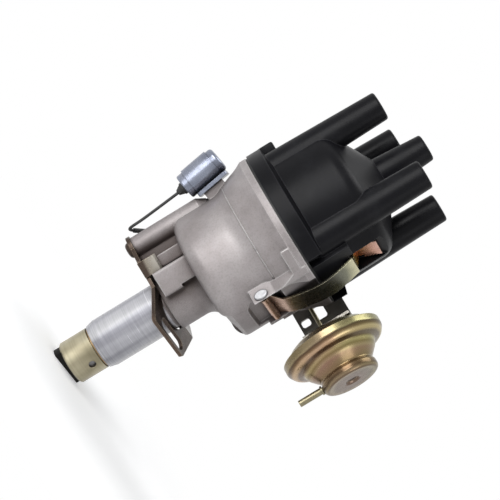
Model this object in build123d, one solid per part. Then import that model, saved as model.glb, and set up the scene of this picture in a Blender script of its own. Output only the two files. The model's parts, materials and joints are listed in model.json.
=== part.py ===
"""Contact-breaker ignition distributor for a four-cylinder engine.

Millimetres. +Z runs up the shaft to the cap, and the origin is on the shaft
axis at the underside of the clamp plate. An azimuth is measured in degrees
from the front (-Y) towards +X.
"""
from build123d import *
import math
import os

# Running fits and small gaps
RUN_FIT = 0.05          # radial clearance of a turning fit
GAP = 0.3               # gap between pieces of two bodies that don't touch
SEAT_GAP = 0.1          # gap under a plate that slides on another

# Shank and shaft
SHANK_R = 13.5
SHANK_LENGTH = 42.0
SHANK_LEAD = 4.0
SHANK_LEAD_R = 12.5
SHAFT_R = 6.25
BUSH_WALL = 1.9
BUSH_LENGTH = 18.0
WASHER_T = 0.9
COLLAR_R = 12.0
COLLAR_LENGTH = 16.5
COLLAR_PIN_R = 2.0
COLLAR_PIN_DOWN = 5.0   # from the top of the collar to the pin
COLLAR_PIN_AZIMUTH = 32.0
TONGUE_H = 3.4
TONGUE_W = 5.0
TONGUE_AZIMUTH = -55.0

# Housing
NECK_R = 15.1
NECK_FILLET = 7.5
PLATE_T = 2.0
PLATE_SEAT_R = SHANK_R - 0.3
PLATE_HOLE_CLEAR = 1.1  # room round the shank where the clamp plate slopes past it
BOWL_BOTTOM = 24.0
BOWL_FLOOR_T = 3.0
BOWL_R = 35.8
BOWL_WALL = 4.7
BOWL_FILLET = 7.0
BOWL_INNER_FILLET = 8.0
FLARE_Z = 50.0
FLARE_OUT = 8.5         # how much wider the rim is than the bowl
RIM_Z = 72.4
JOINT_Z = 76.0
LEDGE_Z = 58.5
MOUTH_WALL = 1.7        # thinnest wall between the mouth and the clips' flat seats

# Cap
SEAL_T = 1.0
FLANGE_R = 45.0
FLANGE_H = 8.0
DOME_R = 37.6
DOME_SIDE_TOP = 117.0
CONE_SLOPE = 28.7
CAP_WALL = 3.6
TOWER_PITCH_R = 32.7
TOWER_TOP = 150.6
TOWER_TIP_R = 7.9
TOWER_BASE_R = 9.6
TOWER_FOOT_Z = 82.5
FIRST_TOWER_AZIMUTH = 19.7
TOWERS = 4
CENTRE_TOP = 160.4
CENTRE_TIP_R = 7.4
CENTRE_BASE_R = 9.6
SOCKET_R = 4.4
SOCKET_DEPTH = 25.0
BRUSH_R = 2.0
BRUSH_LENGTH = 14.5
BRUSH_BOSS_R = 5.0
ELECTRODE_R = 1.9
ELECTRODE_STANDS = 0.9  # how far an electrode stands in from the cap's wall
TERMINAL_T = 1.2

# Clips
CLIP_AZIMUTHS = {"retaining_clip_right": 60.0, "retaining_clip_left": 240.0}
CLIP_T = 1.0
CLIP_W = 16.5
CLIP_NECK_W = 10.5
TAB_W = 15.0
PIN_INSET = 0.6         # the hinge pin's axis lies this far inside the bowl's radius
PIN_Z = 47.9
PIN_R = 1.1
PIN_HEAD_W = 5.0
PIN_HEAD_H = 7.6
PIN_HEAD_T = 1.4
SEAT_CLEAR = 0.4        # gap between a clip and the flat behind it
SEAT_HALF_W = 18.6
SEAT_FAR_W = 9.8
HOOK_Z = 96.4
HOOK_REACH = 6.8
HOOK_SLOPE = 28.0
RECESS_BACK = 1.2       # room behind the hook's bend
TAB_LEAN = 22.5
TAB_LENGTH = 12.8

# Cast lug of a clip
EAR_IN = -16.8          # inner face of the near ear
EAR_T = 3.2
EAR_BOTTOM = 42.7
EAR_SIDE = 23.1         # the near ear's side, seen from the front
FAR_EAR_Y = 9.0
FAR_EAR_T = 1.9
POCKET_BOTTOM = 37.4
PAD_OUT = 0.3           # how far the pad stands out of the rim
PAD_TOP = 75.0
PAD_ARM_X = (6.9, 22.0)
PAD_ARM_Z = (67.4, 72.4)
RAMP_SLOPE = 17.0
RAMP_Z = 29.5

# Clamp plate and column
COLUMN_INSET = 1.3      # the column's axis lies this far inside the bowl's radius
COLUMN_R = 5.8
COLUMN_TOP = 42.5
CLAMP_SCREW_R = 2.6
CLAMP_HEAD_R = 4.5
CLAMP_HEAD_H = 2.6
FOLD_ANGLE = 20.0
FOLD_AZIMUTH = 39.0     # the flap slopes down towards this azimuth
FOLD_START = (-11.6, -15.9)
FOLD_LENGTH = 43.4
FLAP_V = 21.3
TAB_X = (-26.3, -17.6)
TAB_Y = -14.6           # back face of the upturned tab
TAB_T = 1.6
TAB_TOP = 10.5
SLOT_LENGTH = 23.5
SLOT_W = 7.0
SLOT_V = 15.8
SLOT_U = 21.3

# Vacuum unit
VACUUM_AZIMUTH = 68.0   # direction that the unit's axis points
VACUUM_OFFSET = 31.7    # distance of its axis from the shaft axis
VACUUM_Z = 63.8
RIM_PLANE = 57.0        # from the foot of the axis to the crimped rim
CAN_R = 28.7
CAN_WALL = 1.2
CAN_END = 21.8          # from the rim plane to the flat end
DISH_DEPTH = 7.0
NIPPLE_R = 1.9
NIPPLE_BORE_R = 1.1
NIPPLE_LENGTH = 13.4
NIPPLE_COLLAR_R = 2.6
NIPPLE_COLLAR_T = 1.0
NIPPLE_SPIGOT_R = 1.6
NIPPLE_ALONG = 17.8     # from the rim plane to the nipple
ROD_R = 1.1
ROD_PIN_R = 1.2
ROD_EYE_PLAY = 0.45     # room round the pin in the rod's eye
ROD_EYE_WALL = 0.95
BRACKET_OUT = 10.2      # the bracket's inner face lies this far behind the bowl
BRACKET_T = 1.6
BRACKET_SCREWS = ((-6.0, 63.0), (6.0, 57.0))

# Condenser
CONDENSER_OUT = 14.2    # from the bowl's radius to the can's axis
CONDENSER_Z = 52.6
CONDENSER_LEAN = 9.0
CONDENSER_R = 7.0
CONDENSER_LENGTH = 23.8
CONDENSER_SCREW_Y = 9.0
STRAP_T = 0.8
STRAP_H = 16.0
FLANGE_PLATE_T = 1.5
LEAD_R = 0.8

# Small fasteners and the low-tension terminal
SCREW_R = 1.5
SCREW_HEAD_R = 2.8
BASE_SCREW_R = 31.0
BASE_SCREW_AZIMUTHS = (0.0, 110.0, 225.0)
TERMINAL_AZIMUTH = 248.0
TERMINAL_BUSH_R = 3.6
TERMINAL_HEAD_R = 4.8
TERMINAL_HEAD_T = 2.6
TERMINAL_STUD_R = 1.6

# Breaker
BASE_PLATE_T = 1.8
MOVING_PLATE_T = 1.6
MOVING_PLATE_R = 27.0
COLLAR_RING_R = 17.0
CAM_LOBE_R = 9.6
CAM_FLAT = 8.3
ARM_X = -21.0           # the line that the breaker arm lies along
POST_Y = 13.0
CONTACT_Y = -14.0
POINTS_GAP = 0.45
PIVOT_R = 1.9
ARM_T = 1.4
ARM_H = 4.8
ARM_LIFT = 2.8          # from the moving plate to the arm's underside
CONTACT_BUTTON_R = 1.7
LEAF_T = 0.4

# Governor
GOVERNOR_R = 23.0
GOVERNOR_T = 2.0
WEIGHT_T = 5.6
WEIGHT_PIVOT_R = 18.0
WEIGHT_PIN_R = 8.0
WEIGHT_POST_R = 2.0
SPRING_POST = (-13.0, 3.0)
SPINDLE_R = 4.0
SLEEVE_R = 7.0
FOOT_T = 1.8

# Rotor
ROTOR_BOTTOM = 80.5
ROTOR_DOWN = 20.0       # from the dome's shoulder down to the rotor's arm
ROTOR_ARM_T = 9.0
ROTOR_STRIP_T = 1.4
ROTOR_GAP = 0.6         # from the rotor's tip to an electrode
KEY_X = 4.6             # flat on the sleeve's top that the rotor keys onto
CAM_SCREW_R = 2.0
SLEEVE_DEEP = 8.0       # from the sleeve's top down to the spindle's top
FELT_T = 3.6

# Values worked out from the ones above
BUSH_BORE_R = SHAFT_R + RUN_FIT
BUSH_R = BUSH_BORE_R + BUSH_WALL
BOWL_FLOOR = BOWL_BOTTOM + BOWL_FLOOR_T
BOWL_INNER_R = BOWL_R - BOWL_WALL
RIM_R = BOWL_R + FLARE_OUT
COLLAR_TOP = -SHANK_LENGTH - WASHER_T - 2 * SEAT_GAP
COLLAR_BOTTOM = COLLAR_TOP - COLLAR_LENGTH
CAP_Z = JOINT_Z + SEAL_T
CAP_INNER_R = DOME_R - CAP_WALL
PIN_X = BOWL_R - PIN_INSET
KNUCKLE_R = PIN_R + RUN_FIT + CLIP_T
POCKET_X = PIN_X - KNUCKLE_R - GAP
HOOK_X = DOME_R
SEAT_X = HOOK_X - CLIP_T / 2 - SEAT_CLEAR
MOUTH_R = SEAT_X - MOUTH_WALL
RECESS_X = HOOK_X - HOOK_REACH - RECESS_BACK
CAP_UPPER_INNER_R = RECESS_X - CAP_WALL / 2
ELECTRODE_TIP_R = CAP_UPPER_INNER_R - ELECTRODE_STANDS
ROTOR_TIP_R = ELECTRODE_TIP_R - ROTOR_GAP
CEILING_Z = DOME_SIDE_TOP - 4.5
ROTOR_ARM_Z = DOME_SIDE_TOP - ROTOR_DOWN
ROTOR_ARM_TOP = ROTOR_ARM_Z + ROTOR_ARM_T
STRIP_TOP = ROTOR_ARM_TOP + ROTOR_STRIP_T
SLEEVE_TOP = ROTOR_ARM_Z - 4.0
SPINDLE_TOP = SLEEVE_TOP - SLEEVE_DEEP
BRUSH_BOTTOM = STRIP_TOP + 0.1
BRUSH_BOSS_Z = CEILING_Z - 0.5
ELECTRODE_LUG_Z = (ROTOR_ARM_Z + 4.5, ROTOR_ARM_Z + 12.0)
COLUMN_X = -(BOWL_R - COLUMN_INSET)
CONDENSER_X = -(BOWL_R + CONDENSER_OUT)
FLANGE_X = CONDENSER_R + STRAP_T
BRACKET_P = BOWL_R + BRACKET_OUT
TERMINAL_R = BOWL_INNER_R - TERMINAL_BUSH_R - 2.0
TERMINAL_HEAD_Z = BOWL_BOTTOM - TERMINAL_HEAD_T
BASE_TOP = LEDGE_Z + BASE_PLATE_T
MOVING_BOTTOM = BASE_TOP + SEAT_GAP
MOVING_TOP = MOVING_BOTTOM + MOVING_PLATE_T
ARM_Z = MOVING_TOP + ARM_LIFT
ARM_TOP = ARM_Z + ARM_H
GOVERNOR_BOTTOM = BOWL_FLOOR + WASHER_T + 2 * SEAT_GAP + 1.8
GOVERNOR_TOP = GOVERNOR_BOTTOM + GOVERNOR_T
WEIGHT_Z = GOVERNOR_TOP + GAP
FOOT_Z = WEIGHT_Z + WEIGHT_T + GAP
NIPPLE_TOP = VACUUM_Z - 16.2
NODES = {}


def rod(radius, bottom, top, x=0.0, y=0.0):
    """Upright cylinder between two heights."""
    blank = Cylinder(radius, top - bottom, align=(Align.CENTER, Align.CENTER, Align.MIN))
    return Pos(x, y, bottom) * blank


def ring(outer, inner, bottom, top, x=0.0, y=0.0):
    """Upright tube between two heights."""
    return rod(outer, bottom, top, x, y) - rod(inner, bottom, top, x, y)


def block(x0, x1, y0, y1, z0, z1):
    """Box between two corners."""
    size = Box(x1 - x0, y1 - y0, z1 - z0, align=(Align.MIN, Align.MIN, Align.MIN))
    return Pos(x0, y0, z0) * size


def cone(r0, r1, bottom, top, x=0.0, y=0.0):
    """Upright truncated cone between two heights."""
    blank = Cone(r0, r1, top - bottom, align=(Align.CENTER, Align.CENTER, Align.MIN))
    return Pos(x, y, bottom) * blank


def turned(points):
    """Solid turned about Z from (radius, height) points."""
    outline = Polyline(*[(r, 0, z) for r, z in points], close=True)
    return revolve(make_face(outline), Axis.Z)


def prism(points, bottom, top):
    """Upright prism from a plan outline."""
    plan = make_face(Polyline(*points, close=True))
    return Pos(0, 0, bottom) * extrude(plan, top - bottom)


def at(azimuth):
    """Turns a piece modelled at +X to an azimuth."""
    return Rot(0, 0, azimuth - 90)


def polar(radius, azimuth):
    """Plan position at a radius and an azimuth."""
    turn = math.radians(azimuth)
    return radius * math.sin(turn), -radius * math.cos(turn)


def lying(radius, start, end):
    """Round bar from one point to another."""
    axis = Plane(origin=start, z_dir=Vector(*end) - Vector(*start))
    length = (Vector(*end) - Vector(*start)).length
    return extrude(axis * Circle(radius), length)


def coil(start, end, radius, wire, turns):
    """Helical spring between two points."""
    axis = Plane(origin=start, z_dir=Vector(*end) - Vector(*start))
    length = (Vector(*end) - Vector(*start)).length
    path = Helix(pitch=length / turns, height=length, radius=radius)
    section = Plane(origin=path @ 0, z_dir=path % 0) * RegularPolygon(wire, 6)
    return axis * sweep(section, path=path, is_frenet=True)


def group(pieces):
    """Several solids that share a node."""
    return Compound(children=[p for p in pieces])


def bowl_profile():
    """Outer form of the neck, bowl, flare and rim as a solid of revolution."""
    steps = [(0.235, 57.0), (0.53, 63.0), (0.79, 69.0)]
    flare = Spline((BOWL_R, 0, FLARE_Z), *[(BOWL_R + share * FLARE_OUT, 0, z) for share, z in steps],
                   (RIM_R, 0, RIM_Z), tangents=[(0, 0, 1), (0.5, 0, 1)])
    low = Polyline((RIM_R, 0, RIM_Z), (RIM_R, 0, JOINT_Z), (0, 0, JOINT_Z), (0, 0, PLATE_T),
                   (NECK_R, 0, PLATE_T), (NECK_R, 0, BOWL_BOTTOM), (BOWL_R, 0, BOWL_BOTTOM),
                   (BOWL_R, 0, FLARE_Z))
    body = revolve(make_face(low.edges() + flare.edges()), Axis.Z)
    body = fillet(bottom_circle(body, BOWL_R), BOWL_FILLET)
    return fillet(bottom_circle(body, NECK_R), NECK_FILLET)


def bottom_circle(body, radius):
    """Circular edges of one radius at the bottom of the bowl."""
    return [e for e in body.edges().filter_by(GeomType.CIRCLE)
            if abs(e.center().Z - BOWL_BOTTOM) < 0.01 and abs(e.radius - radius) < 0.01]


def clip_lug():
    """Cast lug for one clip at +X: flat seat, near ear with its pad, far ear and pocket."""
    seat = block(BOWL_R - 6, SEAT_X, EAR_IN, 13.0, FLARE_Z, JOINT_Z)
    to_front = Rot(0, 0, 90 - CLIP_AZIMUTHS["retaining_clip_right"])
    near = EAR_IN - EAR_T
    lean = 5.3
    profile = make_face(Polyline((0, EAR_IN, EAR_BOTTOM), (0, near, EAR_BOTTOM), (0, near, FLARE_Z + 5),
                                 (0, near - lean, RIM_Z - 3.4), (0, near - lean, PAD_TOP),
                                 (0, EAR_IN, PAD_TOP), close=True))
    ear = Pos(BOWL_R - 8, 0, 0) * extrude(profile, 16, dir=(1, 0, 0))
    envelope = rod(RIM_R + PAD_OUT, EAR_BOTTOM, PAD_TOP)
    side = to_front * block(-60, EAR_SIDE, -60, 0, EAR_BOTTOM, PAD_TOP)
    ear = ear & envelope & side
    arm = block(*PAD_ARM_X, -60, -30, *PAD_ARM_Z)
    arm = fillet(arm.edges().filter_by(Axis.Y).group_by(Axis.X)[0], 1.2)
    arm = to_front * (arm & envelope)
    far_ear = block(BOWL_R - 8, PIN_X + PIN_R + 0.6, FAR_EAR_Y, FAR_EAR_Y + FAR_EAR_T, PIN_Z - 5, PIN_Z + 5)
    lug = seat + ear + arm + far_ear
    roof = LEDGE_Z - 0.7
    view = make_face(Polyline((POCKET_X, 0, POCKET_BOTTOM + 1.5), (POCKET_X, 0, roof - 2.0),
                              (SEAT_X - 0.8, 0, roof), (60, 0, roof), (60, 0, POCKET_BOTTOM),
                              (POCKET_X + 1.5, 0, POCKET_BOTTOM), close=True))
    pocket = Pos(0, EAR_IN, 0) * extrude(view, FAR_EAR_Y - EAR_IN, dir=(0, 1, 0))
    corner = prism([(EAR_IN - 1, 0), (EAR_IN + 7, 0), (EAR_IN - 1, 7)], POCKET_X - 1, 60)
    corner = Pos(0, 0, POCKET_BOTTOM - 1) * (Plane.YZ.location * corner)
    return lug, pocket - corner


def lug_ramp():
    """Wedge cut from under the right lug, where the bowl's underside slopes up."""
    run = (RAMP_Z - BOWL_BOTTOM) / math.tan(math.radians(RAMP_SLOPE))
    view = make_face(Polyline((BOWL_R - run, 0, BOWL_BOTTOM), (BOWL_R + 5, 0, RAMP_Z + 5 * 0.31),
                              (BOWL_R + 5, 0, BOWL_BOTTOM - 5), (BOWL_R - run, 0, BOWL_BOTTOM - 5),
                              close=True))
    return Pos(0, -13.0, 0) * extrude(view, 34.0, dir=(0, 1, 0))


def make_housing():
    """Cast housing: shank, neck, bowl, clip lugs, column, rib, block and bosses."""
    shank = turned([(0, -SHANK_LENGTH), (SHANK_LEAD_R, -SHANK_LENGTH),
                    (SHANK_R, -SHANK_LENGTH + SHANK_LEAD), (SHANK_R, 0), (PLATE_SEAT_R, 0),
                    (PLATE_SEAT_R, PLATE_T), (0, PLATE_T)])
    body = shank + bowl_profile()
    column = rod(COLUMN_R, PLATE_T, COLUMN_TOP, COLUMN_X, 0)
    column = column + cone(COLUMN_R, 3.0, COLUMN_TOP, COLUMN_TOP + 5, COLUMN_X, 0)
    web = block(COLUMN_X, 0, -2.6, 2.6, PLATE_T, BOWL_BOTTOM + 1)
    rib = block(-24.6, -18.2, TAB_Y + 0.3, -6.0, 9.0, BOWL_BOTTOM + 1)
    rib = fillet(rib.edges().filter_by(Axis.Y).group_by(Axis.Z)[0], 3.0)
    stop = block(-17.6, -3.6, -22.0, 0.0, 4.6, BOWL_BOTTOM + 1)
    stop = fillet(stop.edges().filter_by(Axis.Z).group_by(Axis.Y)[0], 1.2)
    stop = stop - block(-5.4, 0.0, -23.0, 0.0, 15.0, BOWL_BOTTOM + 2)
    body = body + column + web + rib + stop
    body = body + make_condenser_boss() + make_bracket_pad()
    trim = block(SEAT_X, 60, EAR_IN, 30, FLARE_Z - 1, JOINT_Z + 1)
    lug, pocket = clip_lug()
    for azimuth in CLIP_AZIMUTHS.values():
        body = body - at(azimuth) * trim
        body = body + at(azimuth) * lug
        body = body - at(azimuth) * pocket
    body = body - at(CLIP_AZIMUTHS["retaining_clip_right"]) * lug_ramp()
    hollow = rod(BOWL_INNER_R, BOWL_FLOOR, LEDGE_Z + 1)
    hollow = fillet(hollow.edges().group_by(Axis.Z)[0], BOWL_INNER_FILLET)
    hollow = hollow + rod(MOUTH_R, LEDGE_Z, JOINT_Z + 1)
    for azimuth in BASE_SCREW_AZIMUTHS:
        x, y = polar(BASE_SCREW_R, azimuth)
        hollow = hollow - rod(4.0, BOWL_FLOOR - 1, LEDGE_Z, x, y)
    body = body - hollow
    for azimuth in BASE_SCREW_AZIMUTHS:
        x, y = polar(BASE_SCREW_R, azimuth)
        body = body - rod(SCREW_R, LEDGE_Z - 8, LEDGE_Z + 1, x, y)
    body = body - rod(BUSH_R, -SHANK_LENGTH - 1, BOWL_FLOOR + 1)
    for azimuth in CLIP_AZIMUTHS.values():
        hole = Pos(PIN_X, 0, PIN_Z) * Rot(90, 0, 0) * Cylinder(PIN_R, 60)
        body = body - at(azimuth) * hole
    x, y = polar(TERMINAL_R, TERMINAL_AZIMUTH)
    body = body - rod(TERMINAL_BUSH_R, BOWL_BOTTOM - 8, BOWL_FLOOR + 12, x, y)
    body = body - rod(TERMINAL_HEAD_R + SEAT_GAP, TERMINAL_HEAD_Z - 1, BOWL_BOTTOM, x, y)
    body = body - rod(CLAMP_SCREW_R, 0, PLATE_T + 14, COLUMN_X, 0)
    body = body - vacuum_frame() * lying(ROD_R + 1.4, (0, 0, 8), (0, 0, 40))
    for x, z in BRACKET_SCREWS:
        body = body - vacuum_frame() * bracket_hole(x, z)
    body = body - condenser_frame() * condenser_screw_hole()
    return body


def fold_plane():
    """Plane of the folded flap's top face, with x along the fold and y down the slope."""
    turn = math.radians(FOLD_AZIMUTH)
    slope = math.radians(FOLD_ANGLE)
    down = Vector(math.sin(turn) * math.cos(slope), -math.cos(turn) * math.cos(slope), -math.sin(slope))
    along = Vector(math.cos(turn), math.sin(turn), 0)
    return Plane(origin=(FOLD_START[0], FOLD_START[1], PLATE_T), x_dir=along, z_dir=along.cross(down) * -1)


def make_clamp_plate():
    """Bent clamp plate: level part with a round end and a tab, and a folded flap with a slot."""
    turn = math.radians(FOLD_AZIMUTH)
    along = (math.cos(turn), math.sin(turn))
    back = FOLD_LENGTH
    fold_end = (FOLD_START[0] + along[0] * back, FOLD_START[1] + along[1] * back)
    level = prism([(COLUMN_X, -7.0), (-27.0, -12.5), FOLD_START, fold_end, (16.6, 30.0), (-6.0, 24.0),
                   (COLUMN_X, 7.0)], 0, PLATE_T)
    level = level + rod(7.0, 0, PLATE_T, COLUMN_X, 0)
    plane = fold_plane()
    flap_plan = make_face(Polyline((0, -0.4), (back, -0.4), (back - 0.5, -1.5), (back - 9.4, -FLAP_V),
                                   (3.0, -FLAP_V), close=True))
    corners = [v for v in flap_plan.vertices() if v.Y < 1 - FLAP_V]
    flap_plan = fillet(corners, 2.0)
    flap = extrude(plane * flap_plan, -PLATE_T)
    slot = plane * Pos(SLOT_U, -SLOT_V) * SlotOverall(SLOT_LENGTH, SLOT_W)
    flap = flap - extrude(slot, PLATE_T + 1, both=True)
    tab = block(*TAB_X, TAB_Y - TAB_T, TAB_Y, 0, TAB_TOP)
    tab = chamfer(tab.edges().filter_by(Axis.X).group_by(Axis.Z)[-1].sort_by(Axis.Y)[0], 1.2, 0.9)
    bridge = block(*TAB_X, TAB_Y, -10.0, 0, PLATE_T)
    plate = level + flap + bridge + tab
    plate = plate - rod(SHANK_R + PLATE_HOLE_CLEAR, -12, 0) - rod(PLATE_SEAT_R, 0, PLATE_T + 1)
    return plate - rod(CLAMP_SCREW_R, -1, PLATE_T + 1, COLUMN_X, 0)


def make_clamp_screw():
    """Round-headed screw that holds the clamp plate under the column."""
    shank = rod(CLAMP_SCREW_R, -0.5, PLATE_T + 12, COLUMN_X, 0)
    head = rod(CLAMP_HEAD_R, -CLAMP_HEAD_H, 0, COLUMN_X, 0)
    head = fillet(head.edges().group_by(Axis.Z)[0], CLAMP_HEAD_H * 0.8)
    return shank + head


def condenser_frame():
    """Frame at the middle of the can, with z along the can and x towards the housing."""
    return Pos(CONDENSER_X, 0, CONDENSER_Z) * Rot(0, -CONDENSER_LEAN, 0)


def condenser_screw_hole():
    """Tapped hole behind the strap's ear."""
    x = FLANGE_X + FLANGE_PLATE_T
    return Pos(x, CONDENSER_SCREW_Y, 0) * Rot(0, 90, 0) * Cylinder(SCREW_R, 12)


def make_condenser_boss():
    """Cast pad on the bowl's left side that carries the condenser, clear of the clip's path."""
    x = FLANGE_X + FLANGE_PLATE_T
    pad = condenser_frame() * block(x, x + 12, -4.5, CONDENSER_SCREW_Y + 4.0, -6.0, 6.0)
    path = at(CLIP_AZIMUTHS["retaining_clip_left"]) * block(34, 80, -30, CLIP_W / 2 + 1.0, 30, 90)
    return pad - path


def make_condenser():
    """Can, strap, screw and grommet of the condenser."""
    half = CONDENSER_LENGTH / 2
    can = Cylinder(CONDENSER_R, CONDENSER_LENGTH)
    can = fillet(can.edges().group_by(Axis.Z)[-1], 1.8)
    can = fillet(can.edges().group_by(Axis.Z)[0], 0.8)
    strap = ring(CONDENSER_R + STRAP_T, CONDENSER_R, -STRAP_H / 2, STRAP_H / 2)
    strap = strap - block(-12, 0, -1.2, 0.0, -STRAP_H, STRAP_H)
    flange = block(FLANGE_X - 0.6, FLANGE_X + FLANGE_PLATE_T, -6.5, CONDENSER_SCREW_Y + 3.6, -8.8, 10.5)
    flange = fillet(flange.edges().filter_by(Axis.X), 2.0) - rod(CONDENSER_R, -12, 12)
    strap = strap + flange
    hole = Pos(FLANGE_X, CONDENSER_SCREW_Y, 0) * Rot(0, 90, 0) * Cylinder(SCREW_R, 8)
    strap = strap - hole
    along_x = Pos(0, CONDENSER_SCREW_Y, 0) * Rot(0, 90, 0)
    shank = along_x * rod(SCREW_R, FLANGE_X - 0.6, FLANGE_X + FLANGE_PLATE_T + 4.0)
    head = along_x * rod(SCREW_HEAD_R, FLANGE_X - 2.6, FLANGE_X - 0.6)
    neck = rod(3.4, -half - 1.4, -half)
    grommet = neck + cone(1.5, 3.0, -half - 4.6, -half - 1.4)
    frame = condenser_frame()
    NODES["condenser_can"] = frame * can
    NODES["condenser_strap"] = frame * strap
    NODES["condenser_screw"] = frame * (shank + head)
    NODES["condenser_grommet"] = frame * grommet


# Route of the condenser's lead, from the grommet down and round a tight fold
LEAD_ROUTE = [(-47.42, 0.0, 36.3), (-46.7, 0.3, 28.5), (-45.9, 0.2, 20.0), (-45.2, 0.6, 11.5),
              (-45.1, 0.6, 5.6), (-44.4, 2.8, 3.6), (-43.0, 4.8, 5.5)]


def tube_path(points):
    """Straight runs joined by the largest arcs that the runs allow."""
    route = [Vector(*p) for p in points]
    radii = []
    for before, corner, after in zip(route, route[1:], route[2:]):
        turn = (corner - before).get_angle(after - corner)
        run = min((corner - before).length, (after - corner).length)
        radii.append(0.45 * run / math.tan(math.radians(turn / 2)))
    print("bend radii", [round(r, 2) for r in radii])
    return FilletPolyline(*points, radius=radii)


def make_lead():
    """Lead, its insulated connector, and the terminal under the bowl."""
    path = tube_path(LEAD_ROUTE)
    lead = sweep(Plane(origin=path @ 0, z_dir=path % 0) * Circle(LEAD_R), path=path)
    print("lead length", round(path.length, 2), "volume", round(lead.volume, 3),
          "section times length", round(math.pi * LEAD_R ** 2 * path.length, 3))
    NODES["condenser_lead"] = lead
    x, y = polar(TERMINAL_R, TERMINAL_AZIMUTH)
    tip = path @ 1
    heading = path % 1
    bend = tip + heading * 8.5
    tag_z = TERMINAL_HEAD_Z - 4.0
    end = (x - 3.4, y + 1.2, tag_z + 0.6)
    sleeve = lying(1.3, tuple(tip), tuple(bend)) + Pos(*bend) * Sphere(1.3) + lying(1.3, tuple(bend), end)
    tag = ring(3.2, TERMINAL_STUD_R, tag_z, tag_z + 1.0, x, y)
    NODES["lead_connector"] = sleeve + tag
    bush = ring(TERMINAL_BUSH_R, TERMINAL_STUD_R, TERMINAL_HEAD_Z, BOWL_FLOOR + 2.5, x, y)
    bush = bush + ring(TERMINAL_HEAD_R, TERMINAL_STUD_R, TERMINAL_HEAD_Z, BOWL_BOTTOM, x, y)
    NODES["terminal_insulator"] = bush
    stud = rod(TERMINAL_STUD_R, tag_z - 2.4, BOWL_FLOOR + 5, x, y)
    nut = Pos(x, y, tag_z + 1.0) * extrude(RegularPolygon(3.1, 6), 3.0)
    NODES["terminal_stud"] = stud + (nut - rod(TERMINAL_STUD_R, tag_z, tag_z + 10, x, y))


def strip_face():
    """Side view of the clip's strip, x outwards and y up."""
    reach = math.radians(HOOK_SLOPE)
    lean = math.radians(TAB_LEAN)
    inner = (HOOK_X - HOOK_REACH, HOOK_Z + HOOK_REACH * math.tan(reach))
    top = (inner[0] + TAB_LENGTH * math.sin(lean), inner[1] + TAB_LENGTH * math.cos(lean))
    eye = PIN_X - KNUCKLE_R + CLIP_T / 2
    bow = Spline((eye, PIN_Z), (PIN_X + 1.6, PIN_Z + 7.6), (HOOK_X + 2.1, 65.5), (HOOK_X + 3.5, 76.0),
                 (HOOK_X + 2.4, 87.0), (HOOK_X, HOOK_Z), tangents=[(0, 1), (-0.28, 1)])
    face = trace(bow, line_width=CLIP_T)
    hook = trace(Line((HOOK_X, HOOK_Z), inner), line_width=CLIP_T)
    tab = trace(Line(inner, top), line_width=CLIP_T)
    knuckle = Pos(PIN_X, PIN_Z) * Circle(KNUCKLE_R)
    face = face + knuckle + Pos(HOOK_X, HOOK_Z) * Circle(CLIP_T / 2)
    return face, hook + Pos(*inner) * Circle(CLIP_T / 2), tab, inner


def make_clip():
    """Spring clip at +X: wide knuckle, bow, hook, narrow neck and finger tab."""
    bow, hook, tab, inner = strip_face()
    upright = Plane(origin=(0, 0, 0), x_dir=(1, 0, 0), z_dir=(0, -1, 0))
    near = EAR_IN + 0.5
    half = CLIP_W / 2
    clip = Pos(0, half, 0) * extrude(upright * bow, half - near)
    waste = make_face(Polyline((0, near - 1, PIN_Z + KNUCKLE_R), (0, near + 2, PIN_Z + KNUCKLE_R + 0.6),
                               (0, -half, PIN_Z + 8.0), (0, -half, HOOK_Z + 9), (0, near - 1, HOOK_Z + 9),
                               close=True))
    clip = clip - Pos(PIN_X - 6, 0, 0) * extrude(waste, 20, dir=(1, 0, 0))
    neck = extrude(upright * hook, CLIP_NECK_W / 2, both=True)
    finger = extrude(upright * tab, TAB_W / 2, both=True)
    waist = block(inner[0] - 1, inner[0] + 2.2, CLIP_NECK_W / 2, TAB_W, inner[1] - 2, inner[1] + 3.0)
    finger = finger - waist - mirror(waist, Plane.XZ)
    clip = clip + neck + finger
    return clip - Pos(PIN_X, 0, PIN_Z) * Rot(90, 0, 0) * Cylinder(PIN_R + RUN_FIT, 3 * CLIP_W)


def make_pin():
    """Hinge pin at +X through both ears, with its near end staked into an oval."""
    along = Pos(PIN_X, 0, PIN_Z) * Rot(90, 0, 0)
    face = EAR_T - EAR_IN
    shank = along * rod(PIN_R, -FAR_EAR_Y - FAR_EAR_T, face)
    head = extrude(Ellipse(PIN_HEAD_W / 2, PIN_HEAD_H / 2), PIN_HEAD_T)
    head = fillet(head.edges().group_by(Axis.Z)[-1], PIN_HEAD_T / 2)
    return shank + along * Pos(0, 0, face) * head


def recess_outline():
    """Side view of the space that the hook and tab need in the cap."""
    slope = math.radians(HOOK_SLOPE)
    lean = math.radians(TAB_LEAN)
    drop = CLIP_T / 2 + GAP + 0.1
    low = (HOOK_X + 2 - drop * math.sin(slope), HOOK_Z - 2 * math.tan(slope) - drop * math.cos(slope))
    back_x = RECESS_X
    rise = (low[0] - back_x) * math.tan(slope)
    back = (back_x, low[1] + rise)
    top = (back_x + 20 * math.sin(lean), back[1] + 20 * math.cos(lean))
    return [low, back, top, (60, top[1]), (60, low[1])]


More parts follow.
